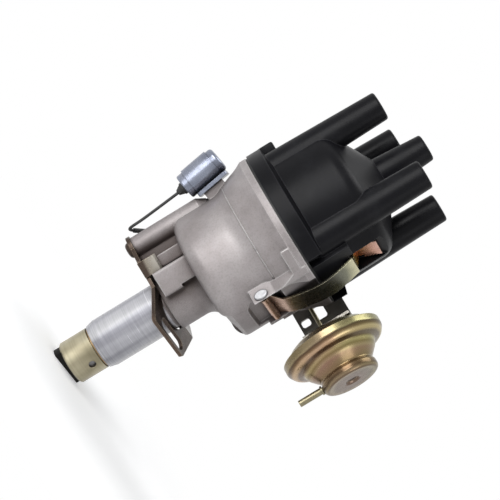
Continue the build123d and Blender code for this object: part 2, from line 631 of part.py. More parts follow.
def make_cap():
    """Distributor cap: flange, dome, towers, clip seats, sockets and hollow inside."""
    cone_top_z = DOME_SIDE_TOP + (DOME_R - CENTRE_BASE_R) * math.tan(math.radians(CONE_SLOPE))
    dome = turned([(0, CAP_Z), (FLANGE_R, CAP_Z), (FLANGE_R, CAP_Z + FLANGE_H),
                   (DOME_R + 0.6, CAP_Z + FLANGE_H + 2), (DOME_R, DOME_SIDE_TOP),
                   (CENTRE_BASE_R, cone_top_z), (0, cone_top_z)])
    shoulder = [e for e in dome.edges().filter_by(GeomType.CIRCLE)
                if abs(e.center().Z - DOME_SIDE_TOP) < 0.01]
    dome = fillet(shoulder, 9.0)
    centre = cone(CENTRE_BASE_R, CENTRE_TIP_R, cone_top_z - 2, CENTRE_TOP)
    cap = dome + fillet(centre.edges().group_by(Axis.Z)[-1], 1.3)
    lug = block(-FLANGE_R + 0.4, -DOME_R + 2, -3.0, 3.0, CAP_Z + 2, CAP_Z + FLANGE_H + 7)
    cap = cap + lug
    for azimuth in CLIP_AZIMUTHS.values():
        cap = cap - at(azimuth) * block(SEAT_X - 5.2, 60, -26.5, 26.5, CAP_Z - 1, CAP_Z + FLANGE_H + 6)
        cap = cap + at(azimuth) * block(28, SEAT_X, -SEAT_HALF_W, SEAT_FAR_W, CAP_Z, HOOK_Z + 2)
    cap = cap + ring(DOME_R, CAP_INNER_R, CAP_Z, CAP_Z + 14)
    for azimuth in CLIP_AZIMUTHS.values():
        cap = cap - at(azimuth) * block(SEAT_X, 60, -SEAT_HALF_W, SEAT_FAR_W, CAP_Z - 1, HOOK_Z + 2)
    for i in range(TOWERS):
        x, y = polar(TOWER_PITCH_R, FIRST_TOWER_AZIMUTH + i * 360 / TOWERS)
        tower = cone(TOWER_BASE_R, TOWER_TIP_R, TOWER_FOOT_Z, TOWER_TOP, x, y)
        tower = fillet(tower.edges().group_by(Axis.Z)[-1], 1.3)
        cap = cap + fillet(tower.edges().group_by(Axis.Z)[0], 3.0)
    recess = extrude(Plane.XZ * make_face(Polyline(*recess_outline(), close=True)), SEAT_FAR_W, both=True)
    for azimuth in CLIP_AZIMUTHS.values():
        cap = cap - at(azimuth) * recess
    ceiling = CEILING_Z
    inner_top = 6.5
    hollow = turned([(0, CAP_Z - 1), (CAP_INNER_R, CAP_Z - 1), (CAP_INNER_R, 90.0), (CAP_UPPER_INNER_R, 93.5),
                     (CAP_UPPER_INNER_R, ceiling), (inner_top, ceiling + 11.0), (0, ceiling + 11.0)])
    cap = cap - (hollow - rod(BRUSH_BOSS_R, BRUSH_BOSS_Z, ceiling + 12))
    for i in range(TOWERS):
        x, y = polar(TOWER_PITCH_R, FIRST_TOWER_AZIMUTH + i * 360 / TOWERS)
        cap = cap - rod(SOCKET_R, TOWER_TOP - SOCKET_DEPTH, TOWER_TOP + 1, x, y)
        cap = cap - electrode(i)
    cap = cap - rod(SOCKET_R, CENTRE_TOP - SOCKET_DEPTH, CENTRE_TOP + 1)
    cap = cap - rod(BRUSH_R + RUN_FIT, BRUSH_BOSS_Z - 1, CENTRE_TOP - SOCKET_DEPTH)
    cap = cap - centre_disc()
    return cap


def electrode(index):
    """Brass electrode: post in the tower's foot, with a lug that stands in the cap."""
    azimuth = FIRST_TOWER_AZIMUTH + index * 360 / TOWERS
    x, y = polar(TOWER_PITCH_R, azimuth)
    post = rod(ELECTRODE_R, ELECTRODE_LUG_Z[0], TOWER_TOP - SOCKET_DEPTH, x, y)
    lug = at(azimuth) * block(ELECTRODE_TIP_R, TOWER_PITCH_R, -ELECTRODE_R, ELECTRODE_R, *ELECTRODE_LUG_Z)
    return post + lug


def centre_disc():
    """Terminal disc, let into the bottom of the centre socket."""
    bottom = CENTRE_TOP - SOCKET_DEPTH
    return rod(SOCKET_R - 0.6, bottom - TERMINAL_T, bottom)


def make_cap_inside():
    """Electrodes, centre terminal, carbon brush and its spring."""
    bottom = CENTRE_TOP - SOCKET_DEPTH - TERMINAL_T
    NODES["cap_electrodes"] = group([electrode(i) for i in range(TOWERS)])
    NODES["centre_terminal"] = centre_disc()
    NODES["carbon_brush"] = rod(BRUSH_R, BRUSH_BOTTOM, BRUSH_BOTTOM + BRUSH_LENGTH)
    NODES["brush_spring"] = coil((0, 0, BRUSH_BOTTOM + BRUSH_LENGTH + 0.3), (0, 0, bottom - 0.3), 1.5, 0.3, 7)


def make_shaft():
    """Drive shaft, collar with its tongue, cross pin, washers and bushes."""
    shaft = rod(SHAFT_R, COLLAR_BOTTOM + 3.0, GOVERNOR_TOP)
    shaft = shaft + rod(SPINDLE_R + 0.8, GOVERNOR_TOP, FOOT_Z - 0.2) + rod(SPINDLE_R, GOVERNOR_TOP, SPINDLE_TOP)
    shaft = shaft - rod(CAM_SCREW_R, SPINDLE_TOP - 9, SPINDLE_TOP + 1)
    pin_z = COLLAR_TOP - COLLAR_PIN_DOWN
    across = at(COLLAR_PIN_AZIMUTH) * Pos(0, 0, pin_z) * Rot(0, 90, 0) * Cylinder(COLLAR_PIN_R, 40)
    collar = rod(COLLAR_R, COLLAR_BOTTOM, COLLAR_TOP)
    collar = chamfer(collar.edges().group_by(Axis.Z)[0], 0.9)
    tongue = at(TONGUE_AZIMUTH) * block(-COLLAR_R, COLLAR_R, -TONGUE_W / 2, TONGUE_W / 2,
                                        COLLAR_BOTTOM - TONGUE_H, COLLAR_BOTTOM + 1)
    tongue = tongue & rod(COLLAR_R - 0.6, COLLAR_BOTTOM - TONGUE_H, COLLAR_BOTTOM + 1)
    collar = collar + tongue - rod(SHAFT_R, COLLAR_BOTTOM + 3.0, COLLAR_TOP + 1) - across
    NODES["drive_shaft"] = shaft - across
    NODES["drive_collar"] = collar
    pin = at(COLLAR_PIN_AZIMUTH) * Pos(0, 0, pin_z) * Rot(0, 90, 0) * Cylinder(COLLAR_PIN_R, 2 * COLLAR_R - 3.6)
    NODES["collar_pin"] = pin
    low = ring(COLLAR_R - 0.8, SHAFT_R, COLLAR_TOP + SEAT_GAP, COLLAR_TOP + SEAT_GAP + WASHER_T)
    high = ring(COLLAR_R - 1.5, SHAFT_R, BOWL_FLOOR + SEAT_GAP, BOWL_FLOOR + SEAT_GAP + WASHER_T)
    NODES["lower_thrust_washer"] = low
    NODES["upper_thrust_washer"] = high
    NODES["lower_bush"] = ring(BUSH_R, BUSH_BORE_R, -SHANK_LENGTH, -SHANK_LENGTH + BUSH_LENGTH)
    NODES["upper_bush"] = ring(BUSH_R, BUSH_BORE_R, BOWL_FLOOR - BUSH_LENGTH, BOWL_FLOOR)


def make_weight():
    """Governor weight on the left: bored boss, crescent and drive pin."""
    crescent = ring(22.0, 12.0, WEIGHT_Z, WEIGHT_Z + WEIGHT_T)
    start = math.radians(100)
    end = math.radians(205)
    reach = 60.0
    middle = (start + end) / 2
    sector = prism([(0, 0), (reach * math.cos(start), reach * math.sin(start)),
                    (reach * math.cos(middle), reach * math.sin(middle)),
                    (reach * math.cos(end), reach * math.sin(end))], WEIGHT_Z, WEIGHT_Z + WEIGHT_T)
    weight = (crescent & sector) + rod(4.6, WEIGHT_Z, WEIGHT_Z + WEIGHT_T, 0, WEIGHT_PIVOT_R)
    lever = block(-2.4, 2.4, WEIGHT_PIN_R, WEIGHT_PIVOT_R, WEIGHT_Z, WEIGHT_Z + WEIGHT_T)
    tip = rod(2.4, WEIGHT_Z, WEIGHT_Z + WEIGHT_T, 0, WEIGHT_PIN_R)
    pin = rod(1.4, WEIGHT_Z, FOOT_Z + FOOT_T - 0.2, 0, WEIGHT_PIN_R)
    weight = weight + lever + tip + pin
    return weight - rod(WEIGHT_POST_R + RUN_FIT, WEIGHT_Z - 1, WEIGHT_Z + WEIGHT_T + 1, 0, WEIGHT_PIVOT_R)


def make_governor():
    """Governor base with its posts, two weights and two springs."""
    base = rod(GOVERNOR_R, GOVERNOR_BOTTOM, GOVERNOR_TOP)
    base = base + rod(9.0, BOWL_FLOOR + WASHER_T + SEAT_GAP, GOVERNOR_BOTTOM)
    for side in (1, -1):
        base = base + rod(WEIGHT_POST_R, GOVERNOR_TOP, FOOT_Z + 5.4, 0, side * WEIGHT_PIVOT_R)
        base = base - block(14.5, 30, -9, 9, GOVERNOR_BOTTOM - 1, GOVERNOR_TOP + 1).rotate(Axis.Z, 90 - side * 90)
    NODES["governor_base_plate"] = base - rod(SHAFT_R, BOWL_FLOOR, GOVERNOR_TOP + 1)
    weight = make_weight()
    NODES["governor_weight_a"] = weight
    NODES["governor_weight_b"] = weight.rotate(Axis.Z, 180)
    height = FOOT_Z + 4.0
    start = Vector(0, WEIGHT_PIVOT_R, height)
    end = Vector(SPRING_POST[0], SPRING_POST[1], height)
    along = (end - start).normalized()
    spring = coil(tuple(start + along * 2.4), tuple(end - along * 1.8), 1.7, 0.35, 8)
    NODES["governor_spring_a"] = spring
    NODES["governor_spring_b"] = spring.rotate(Axis.Z, 180)


def make_cam():
    """Cam sleeve with its foot plate, four lobes, and the flat that drives the rotor."""
    foot = block(-5.0, 5.0, -12.5, 12.5, FOOT_Z, FOOT_Z + FOOT_T)
    foot = foot + block(SPRING_POST[0], -SPRING_POST[0], -3.0, 3.0, FOOT_Z, FOOT_Z + FOOT_T)
    for side in (1, -1):
        foot = foot + rod(2.6, FOOT_Z, FOOT_Z + FOOT_T, side * SPRING_POST[0], side * SPRING_POST[1])
        foot = foot + rod(1.2, FOOT_Z, FOOT_Z + 5.4, side * SPRING_POST[0], side * SPRING_POST[1])
    sleeve = foot + rod(SLEEVE_R, FOOT_Z, ROTOR_BOTTOM)
    sleeve = sleeve + rod(SLEEVE_R - 0.5, ROTOR_BOTTOM, SLEEVE_TOP)
    lobes = Rectangle(2 * CAM_FLAT, 2 * CAM_FLAT)
    lobes = fillet(lobes.vertices(), 2.6)
    cam = Pos(0, 0, MOVING_TOP + 0.6) * extrude(Rot(0, 0, 45) * lobes, 10.5)
    cam = cam & rod(CAM_LOBE_R, MOVING_TOP, MOVING_TOP + 14)
    sleeve = sleeve + cam
    for side in (1, -1):
        slot = block(-1.65, 1.65, 6.3, 10.0, FOOT_Z - 1, FOOT_Z + FOOT_T)
        sleeve = sleeve - slot.rotate(Axis.Z, 90 - side * 90)
    sleeve = sleeve - rod(SPINDLE_R + RUN_FIT, FOOT_Z - 1, SPINDLE_TOP)
    sleeve = sleeve - rod(5.0, SPINDLE_TOP - GAP, SLEEVE_TOP + 1)
    key = at(FIRST_TOWER_AZIMUTH) * block(KEY_X, 8.0, -8, 8, SLEEVE_TOP - 6, SLEEVE_TOP + 1)
    NODES["cam_sleeve"] = sleeve - key
    screw = rod(CAM_SCREW_R, SPINDLE_TOP - 8, SPINDLE_TOP) + rod(4.4, SPINDLE_TOP, SPINDLE_TOP + 2.4)
    screw = screw - block(-5, 5, -0.5, 0.5, SPINDLE_TOP + 1.4, SPINDLE_TOP + 3)
    NODES["cam_screw"] = screw
    NODES["oil_felt"] = rod(5.0, SLEEVE_TOP - 0.6 - FELT_T, SLEEVE_TOP - 0.6) - key


def make_rotor():
    """Rotor body and its brass strip, which points at the first tower."""
    hub = cone(10.5, 9.0, ROTOR_BOTTOM, ROTOR_ARM_Z)
    hub = hub + rod(11.0, ROTOR_ARM_Z, ROTOR_ARM_TOP - 3)
    end = ROTOR_TIP_R - 5.4
    arm = prism([(-13, -6), (8, -7.5), (end, -4.6), (end, 4.6), (8, 7.5), (-13, 6)], ROTOR_ARM_Z, ROTOR_ARM_TOP)
    arm = fillet(arm.edges().filter_by(Axis.Z), 1.5)
    bore = rod(SLEEVE_R - 0.5, ROTOR_BOTTOM - 1, SLEEVE_TOP + 0.4)
    bore = bore - block(KEY_X, 8.0, -8, 8, SLEEVE_TOP - 6, SLEEVE_TOP + 0.4)
    body = at(FIRST_TOWER_AZIMUTH) * ((hub + arm) - bore)
    NODES["rotor_body"] = body
    tip = Vector(ROTOR_TIP_R, 0)
    strip = prism([(-5, -3.2), (16, -3.2), (ROTOR_TIP_R - 1, -3.8), (ROTOR_TIP_R, 0), (ROTOR_TIP_R - 1, 3.8),
                   (16, 3.2), (-5, 3.2)], ROTOR_ARM_TOP, STRIP_TOP)
    drop = block(end, tip.X - 1.2, -3.6, 3.6, ROTOR_ARM_TOP - 3.2, ROTOR_ARM_TOP)
    NODES["rotor_contact"] = at(FIRST_TOWER_AZIMUTH) * (strip + drop)


def make_breaker():
    """Breaker plates, contact set, arm and leaf spring."""
    base = ring(MOUTH_R - 0.2, COLLAR_RING_R - 2, LEDGE_Z, BASE_TOP)
    base = base + ring(COLLAR_RING_R, COLLAR_RING_R - 2, LEDGE_Z, MOVING_TOP + 0.4)
    screws = []
    for azimuth in BASE_SCREW_AZIMUTHS:
        x, y = polar(BASE_SCREW_R, azimuth)
        base = base - rod(SCREW_R, LEDGE_Z - 1, BASE_TOP + 1, x, y)
        screws.append(rod(SCREW_R, LEDGE_Z - 7, BASE_TOP, x, y) + slotted_head(x, y, BASE_TOP))
    NODES["breaker_base_plate"] = base
    NODES["base_plate_screws"] = group(screws)
    moving = ring(MOVING_PLATE_R, COLLAR_RING_R + RUN_FIT, MOVING_BOTTOM, MOVING_TOP)
    ear_x, ear_y = polar(VACUUM_OFFSET, VACUUM_AZIMUTH + 90)
    ear = at(VACUUM_AZIMUTH + 90) * block(24, VACUUM_OFFSET, -3, 3, MOVING_BOTTOM, MOVING_TOP)
    ear = ear + rod(3.0, MOVING_BOTTOM, MOVING_TOP, ear_x, ear_y)
    ear_pin = rod(ROD_PIN_R, MOVING_TOP, VACUUM_Z + 2.0, ear_x, ear_y)
    NODES["breaker_moving_plate"] = moving + ear + ear_pin
    NODES["breaker_pivot_post"] = rod(PIVOT_R, MOVING_TOP, ARM_TOP + 1.2, ARM_X, POST_Y)
    make_contacts()


def slotted_head(x, y, bottom):
    """Cheese head with a driver slot."""
    head = rod(SCREW_HEAD_R, bottom, bottom + 2.0, x, y)
    return head - block(x - 3, x + 3, y - 0.4, y + 0.4, bottom + 1.2, bottom + 2.5)


def make_contacts():
    """Fixed contact, its screw, breaker arm with heel, and leaf spring."""
    face = ARM_X + ARM_T / 2
    middle = (ARM_Z + ARM_TOP) / 2
    moving_face = face + 1.3
    fixed_face = moving_face + POINTS_GAP
    wall = fixed_face + 0.9
    screw_x = wall + 1.1 + SCREW_HEAD_R + 0.2
    screw_y = CONTACT_Y - 0.4
    foot = block(wall, screw_x + SCREW_HEAD_R, CONTACT_Y - 3.5, -8.0, MOVING_TOP, MOVING_TOP + 1.0)
    upright = block(wall, wall + 1.1, CONTACT_Y - 3.5, CONTACT_Y + 3.0, MOVING_TOP, ARM_TOP)
    button = lying(CONTACT_BUTTON_R, (fixed_face, CONTACT_Y, middle), (wall, CONTACT_Y, middle))
    fixed = foot + upright + button - rod(SCREW_R, MOVING_TOP - 1, MOVING_TOP + 2, screw_x, screw_y)
    fixed = fixed - rod(COLLAR_RING_R + 0.2, MOVING_TOP - 1, MOVING_TOP + 12)
    NODES["fixed_contact"] = fixed
    shank = rod(SCREW_R, MOVING_BOTTOM, MOVING_TOP + 1.0, screw_x, screw_y)
    NODES["contact_screw"] = shank + slotted_head(screw_x, screw_y, MOVING_TOP + 1.0)
    NODES["breaker_moving_plate"] = NODES["breaker_moving_plate"] - shank
    bar = block(ARM_X - ARM_T / 2, face, CONTACT_Y - 2.0, POST_Y, ARM_Z, ARM_TOP)
    boss = rod(3.3, ARM_Z - 0.8, ARM_TOP + 0.4, ARM_X, POST_Y)
    tip = lying(CONTACT_BUTTON_R, (face, CONTACT_Y, middle), (moving_face, CONTACT_Y, middle))
    heel_tip = -(CAM_LOBE_R + GAP)
    heel = prism([(face, -3.0), (heel_tip - 1.0, -1.6), (heel_tip, -0.8), (heel_tip, 0.8), (heel_tip - 1.0, 1.6),
                  (face, 4.0)], ARM_Z, ARM_TOP)
    arm = bar + boss + tip + heel
    NODES["breaker_arm"] = arm - rod(PIVOT_R + RUN_FIT, ARM_Z - 2, ARM_TOP + 2, ARM_X, POST_Y)
    leaf_x = ARM_X - ARM_T / 2 - LEAF_T / 2
    leaf = Spline((leaf_x, CONTACT_Y + 2), (-23.6, 0), (-25.2, 9), (-23.6, 17.2), (-18.6, 20.3),
                  tangents=[(-0.05, 1), (1, 0.3)])
    flat = trace(Line((leaf_x, CONTACT_Y - 1.6), (leaf_x, CONTACT_Y + 2)), line_width=LEAF_T)
    blade = Pos(0, 0, ARM_Z + 0.5) * extrude(flat + trace(leaf, line_width=LEAF_T), 3.8)
    NODES["breaker_leaf_spring"] = blade
    anchor = block(-18.3, -14.5, 18.6, 22.0, MOVING_TOP, ARM_TOP)
    NODES["spring_anchor"] = anchor


def vacuum_frame():
    """Frame at the foot of the unit's axis: z along the axis, y up."""
    x, y = polar(1.0, VACUUM_AZIMUTH)
    foot_x, foot_y = polar(VACUUM_OFFSET, VACUUM_AZIMUTH + 90)
    plane = Plane(origin=(foot_x, foot_y, VACUUM_Z), x_dir=(-y, x, 0), z_dir=(x, y, 0))
    return plane.location


def can_shell():
    """Stamped front shell of the vacuum unit, turned about its axis."""
    half = CAN_WALL / 2
    skirt = CAN_R - half
    top = CAN_END - half
    corners = [(skirt, 2.0, 2.0), (26.2, 4.9, 3.0), (21.2, 6.3, 1.8), (19.8, 9.4, 4.0), (14.4, 15.4, 1.6),
               (15.6, 17.6, 2.0), (15.6, top, 1.7), (4.6, top, 1.0), (3.4, top - 1.3, 0.8)]
    places = [(skirt, -1.5)] + [(r, z) for r, z, _ in corners] + [(0, top - 1.3)]
    outline = trace(FilletPolyline(*places, radius=[bend for _, _, bend in corners]), line_width=CAN_WALL)
    flat = Plane.XZ.location
    return Pos(0, 0, RIM_PLANE) * revolve(flat * outline, Axis.Z)


def dish_shell():
    """Rear shell: shallow dish crimped inside the front shell's rim."""
    outer = [(CAN_R - 1.2, -0.5), (CAN_R - 1.2, -1.5), (26.0, -1.9), (22.5, -DISH_DEPTH + 1.6),
             (19.5, -DISH_DEPTH), (4.0, -DISH_DEPTH)]
    inner = [(4.0, -DISH_DEPTH + CAN_WALL), (19.0, -DISH_DEPTH + CAN_WALL), (21.8, -DISH_DEPTH + 2.6),
             (25.2, -0.5)]
    return Pos(0, 0, RIM_PLANE) * turned(outer + inner)


def bracket_hole(along, height):
    """Hole through the bracket into the pad, in the vacuum unit's frame."""
    depth = BRACKET_P - VACUUM_OFFSET
    return lying(SCREW_R, (depth - 7, height - VACUUM_Z, along), (depth + 6, height - VACUUM_Z, along))


def make_bracket_pad():
    """Cast pad behind the bowl that the vacuum unit's bracket is screwed to."""
    depth = BRACKET_P - VACUUM_OFFSET
    pad = block(depth - 9, depth, 53.0 - VACUUM_Z, 69.0 - VACUUM_Z, -11.0, 11.0)
    return vacuum_frame() * pad


def make_vacuum():
    """Vacuum advance unit: shells, nipple, bracket, diaphragm, spring and pull rod."""
    frame = vacuum_frame()
    NODES["vacuum_front_shell"] = frame * can_shell() - make_nipple_hole()
    NODES["vacuum_rear_shell"] = frame * dish_shell()
    rubber = ring(CAN_R - 1.2, 6.0, RIM_PLANE - 0.5, RIM_PLANE + 0.5)
    NODES["diaphragm"] = frame * rubber
    spring = coil((0, 0, RIM_PLANE + 2.6), (0, 0, RIM_PLANE + 17.8), 7.0, 0.6, 4)
    NODES["diaphragm_spring"] = frame * spring
    eye_bore = ROD_PIN_R + ROD_EYE_PLAY
    bar = rod(ROD_R, eye_bore + 0.3, RIM_PLANE - 1.2)
    cups = rod(12.0, RIM_PLANE - 1.6, RIM_PLANE - 0.6)
    cups = cups + rod(5.8, RIM_PLANE - 0.6, RIM_PLANE + 1.6)
    eye = Rot(90, 0, 0) * (Cylinder(eye_bore + ROD_EYE_WALL, 1.6) - Cylinder(eye_bore, 3))
    NODES["pull_rod"] = frame * (bar + cups + eye)
    depth = BRACKET_P - VACUUM_OFFSET
    face = RIM_PLANE - DISH_DEPTH
    low = 53.0 - VACUUM_Z
    sheet = block(depth, depth + BRACKET_T, low, 70.0 - VACUUM_Z, -11.0, 24.0)
    turn = Plane(origin=(0, 0, 0), x_dir=(0, 1, 0), z_dir=(1, 0, 0)).location
    wing = turn * prism([(low, 20.0), (70.0 - VACUUM_Z, 20.0), (81.0 - VACUUM_Z, 30.0),
                         (81.0 - VACUUM_Z, face), (low, face)], depth, depth + BRACKET_T)
    windows = block(depth - 1, depth + 3, 62.8 - VACUUM_Z, 69.7 - VACUUM_Z, 27.8, 35.6)
    windows = windows + block(depth - 1, depth + 3, 54.5 - VACUUM_Z, 59.7 - VACUUM_Z, 31.0, 35.4)
    windows = fillet(windows.edges().filter_by(Axis.X), 1.4)
    flange = block(-14.0, depth + BRACKET_T, low, 81.0 - VACUUM_Z, face - BRACKET_T, face)
    flange = flange - rod(4.0, face - 5, face + 1)
    bracket = sheet + (wing - windows) + flange
    screws = []
    for along, height in BRACKET_SCREWS:
        bracket = bracket - bracket_hole(along, height)
        level = height - VACUUM_Z
        shank = lying(SCREW_R, (depth - 6, level, along), (depth + BRACKET_T, level, along))
        head = lying(SCREW_HEAD_R, (depth + BRACKET_T, level, along), (depth + BRACKET_T + 2, level, along))
        screws.append(frame * (shank + head))
    NODES["vacuum_bracket"] = frame * bracket
    NODES["vacuum_bracket_screws"] = group(screws)
    NODES["hose_nipple"] = make_nipple()


def nipple_place():
    """Plan position of the nipple's axis."""
    x, y = polar(RIM_PLANE + NIPPLE_ALONG, VACUUM_AZIMUTH)
    foot_x, foot_y = polar(VACUUM_OFFSET, VACUUM_AZIMUTH + 90)
    return x + foot_x, y + foot_y


def make_nipple_hole():
    """Hole in the cup's underside for the nipple's spigot."""
    x, y = nipple_place()
    return rod(NIPPLE_SPIGOT_R, NIPPLE_TOP - 5, VACUUM_Z - 8, x, y)


def make_nipple():
    """Hose nipple that points down from the cup, with a collar that seats on it."""
    x, y = nipple_place()
    collar = NIPPLE_TOP - NIPPLE_COLLAR_T
    bottom = collar - NIPPLE_LENGTH
    top = VACUUM_Z - 13.2
    pipe = rod(NIPPLE_R, bottom, collar, x, y) + rod(NIPPLE_COLLAR_R, collar, NIPPLE_TOP, x, y)
    pipe = pipe + rod(NIPPLE_SPIGOT_R, NIPPLE_TOP, top, x, y)
    return pipe - rod(NIPPLE_BORE_R, bottom - 1, top + 1, x, y)


def main():
    """Builds every node and writes it to its own STEP file."""
    NODES["housing"] = make_housing()
    NODES["clamp_plate"] = make_clamp_plate()
    NODES["clamp_plate_screw"] = make_clamp_screw()
    NODES["distributor_cap"] = make_cap()
    seal = ring(RIM_R - 0.4, MOUTH_R + 0.3, JOINT_Z, CAP_Z)
    for azimuth in CLIP_AZIMUTHS.values():
        seal = seal - at(azimuth) * block(SEAT_X - 0.2, 60, -30, 30, JOINT_Z - 1, CAP_Z + 1)
    NODES["cap_seal_ring"] = seal
    make_cap_inside()
    clip = make_clip()
    for name, azimuth in CLIP_AZIMUTHS.items():
        NODES[name] = at(azimuth) * clip
    for name, azimuth in CLIP_AZIMUTHS.items():
        NODES[name.replace("retaining_clip", "hinge_pin")] = at(azimuth) * make_pin()
    make_condenser()
    make_lead()
    make_shaft()
    make_governor()
    make_cam()
    make_breaker()
    make_rotor()
    make_vacuum()
    os.makedirs("parts", exist_ok=True)
    for name, shape in NODES.items():
        export_step(shape, f"parts/{name}.step")


main()
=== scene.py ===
import bpy
import json
import math
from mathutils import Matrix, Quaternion, Vector
from mathutils.bvhtree import BVHTree


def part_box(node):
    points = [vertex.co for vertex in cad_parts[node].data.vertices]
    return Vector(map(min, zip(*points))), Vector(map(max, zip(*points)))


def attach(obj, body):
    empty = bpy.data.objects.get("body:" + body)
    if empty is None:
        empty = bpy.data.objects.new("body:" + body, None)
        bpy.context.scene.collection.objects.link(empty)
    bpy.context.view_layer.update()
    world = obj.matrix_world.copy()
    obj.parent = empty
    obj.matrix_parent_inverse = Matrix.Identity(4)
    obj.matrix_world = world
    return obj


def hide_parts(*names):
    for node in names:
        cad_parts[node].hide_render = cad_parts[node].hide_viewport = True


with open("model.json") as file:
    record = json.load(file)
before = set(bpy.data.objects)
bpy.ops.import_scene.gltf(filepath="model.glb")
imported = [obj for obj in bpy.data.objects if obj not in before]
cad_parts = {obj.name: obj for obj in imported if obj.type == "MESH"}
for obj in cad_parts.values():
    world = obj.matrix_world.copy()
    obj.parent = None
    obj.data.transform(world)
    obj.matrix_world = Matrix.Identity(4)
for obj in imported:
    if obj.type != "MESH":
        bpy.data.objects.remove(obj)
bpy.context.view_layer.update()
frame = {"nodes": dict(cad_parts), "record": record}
NODES = frame["nodes"]

# Camera at the photograph's viewpoint, in metres, millimetres and degrees
CAMERA_PLACE = (-0.002, -0.875, 0.098)
CAMERA_TARGET = (-0.002, 0.0, 0.0532)
CAMERA_LENS = 119.7
CAMERA_ROLL = 58.7

# Heights above the clamp plate's underside, in metres, over which a colour changes
SHANK_TOP = (-0.0006, 0.0006)
# The painted shade round the neck fades out between these heights
NECK_TOP = (0.022, 0.034)
TONGUE_TOP = (-0.0597, -0.0592)
CLIP_HEIGHTS = (0.046, 0.112)
PLATE_HEIGHTS = (-0.0115, 0.0110)
VACUUM_HEIGHTS = (0.036, 0.092)

# Colours as (place, colour) stops. Cast skin, its specks, and the turned shank with its painted
# reflection streaks:
CAST = [(0.28, (0.20, 0.178, 0.176)), (0.5, (0.27, 0.246, 0.245)), (0.74, (0.35, 0.325, 0.324))]
SPECKS = [(0.34, (0.80, 0.79, 0.78)), (0.5, (1, 1, 1)), (0.72, (1.1, 1.1, 1.09))]
TURNED = [(0.3, (0.44, 0.44, 0.455)), (0.7, (0.54, 0.54, 0.555))]
REFLECTION_STREAKS = [(0.36, (0.52, 0.52, 0.56)), (0.5, (0.82, 0.82, 0.85)), (0.6, (1, 1, 1))]

# Zinc plating by batch
OLIVE = [(0.3, (0.16, 0.155, 0.14)), (0.5, (0.26, 0.25, 0.225)), (0.7, (0.37, 0.35, 0.31))]
GOLD = [(0.3, (0.19, 0.165, 0.10)), (0.5, (0.27, 0.24, 0.155)), (0.7, (0.34, 0.285, 0.20))]
SILVER = [(0.3, (0.17, 0.185, 0.235)), (0.5, (0.23, 0.25, 0.31)), (0.7, (0.29, 0.31, 0.37))]
COLLAR = [(0.3, (0.20, 0.175, 0.11)), (0.5, (0.40, 0.36, 0.25)), (0.7, (0.52, 0.48, 0.36))]

# Clamp plate, from the low edge of its flap up to the top of its tab; painted highlight at the low
# edge
BRONZE = [(0.0, (0.40, 0.27, 0.17)), (0.10, (0.15, 0.10, 0.07)), (0.30, (0.055, 0.040, 0.032)),
          (0.60, (0.065, 0.047, 0.037)), (0.67, (0.26, 0.23, 0.19)), (1.0, (0.44, 0.42, 0.38))]

# Clip, from the hinge up to the finger tab; the pale band near the top of the bow is a painted
# highlight
CLIP = [(0.0, (0.46, 0.30, 0.22)), (0.13, (0.42, 0.27, 0.20)), (0.2, (0.16, 0.13, 0.075)),
        (0.3, (0.045, 0.043, 0.032)), (0.56, (0.036, 0.036, 0.030)), (0.66, (0.15, 0.15, 0.10)),
        (0.72, (0.44, 0.42, 0.27)), (0.765, (0.60, 0.56, 0.37)), (0.79, (0.58, 0.42, 0.10)),
        (0.84, (0.74, 0.23, 0.06)), (0.90, (0.66, 0.34, 0.24)), (1.0, (0.60, 0.35, 0.28))]

# Vacuum unit, from the rim over the pressed steps to the middle of the end face.
# A band's place is the distance along the axis less the radius, between these two values.
BAND_TRAVEL = (-0.0258, 0.0242)
# The bright and dark bands are painted reflections laid over the chromate colours
REFLECTION_BANDS = [(0.0, (0.22, 0.195, 0.125)), (0.025, (0.28, 0.25, 0.165)), (0.05, (0.085, 0.058, 0.038)),
         (0.085, (0.17, 0.12, 0.072)), (0.12, (0.46, 0.36, 0.25)), (0.16, (0.42, 0.32, 0.21)),
         (0.20, (0.115, 0.078, 0.05)), (0.26, (0.13, 0.09, 0.055)), (0.30, (0.36, 0.31, 0.18)),
         (0.34, (0.20, 0.16, 0.08)), (0.39, (0.30, 0.24, 0.16)), (0.43, (0.25, 0.175, 0.13)),
         (0.56, (0.20, 0.155, 0.09)), (0.62, (0.08, 0.058, 0.034)), (0.655, (0.23, 0.20, 0.13)),
         (0.69, (0.13, 0.10, 0.07)), (0.72, (0.24, 0.22, 0.155)), (0.77, (0.14, 0.115, 0.088)),
         (0.88, (0.15, 0.12, 0.095)), (0.94, (0.05, 0.038, 0.03)), (1.0, (0.10, 0.07, 0.05))]
VACUUM_TINT = [(0.0, (1.0, 0.86, 0.68)), (0.3, (1.05, 0.86, 0.80)), (0.5, (1.0, 0.80, 0.70)),
               (0.7, (0.92, 0.90, 0.66)), (1.0, (0.84, 0.90, 0.58))]

# Condenser's lead, in metres, as in the part's source
LEAD_ROUTE = [(-0.04742, 0.0, 0.0363), (-0.0467, 0.0003, 0.0285), (-0.0459, 0.0002, 0.0200),
              (-0.0452, 0.0006, 0.0115), (-0.0451, 0.0006, 0.0056), (-0.0444, 0.0028, 0.0036),
              (-0.0430, 0.0048, 0.0055)]
LEAD_RADIUS = 0.0008

# Casting line round the bowl: its height, half its width, how far it stands out and how far
# its edges sink into the wall. It is left out where the wall is off the plain bowl's radius.
SEAM_Z = 0.0577
SEAM_HALF = 0.0006
SEAM_RISE = 0.00028
SEAM_SINK = 0.0001
SEAM_STEP = 2
SEAM_PLAIN_AZIMUTH = -20.0
SEAM_TOLERANCE = 0.0006
SEAM_REACH = 0.08

# Locating lug on the left of the cap's dome
CAP_LUG_WIDTH = 0.0066
CAP_LUG_X = (-0.0450, -0.0365)
CAP_LUG_Z = (0.0838, 0.0926)
CAP_LUG_ROUND = 0.0011

# Floor and background
FLOOR_Z = -0.0632
FLOOR_HALF = 6.0
FLOOR_FADE = (0.08, 0.2)
FLOOR_LIFT = 0.35
WORLD_STRENGTH = 0.28


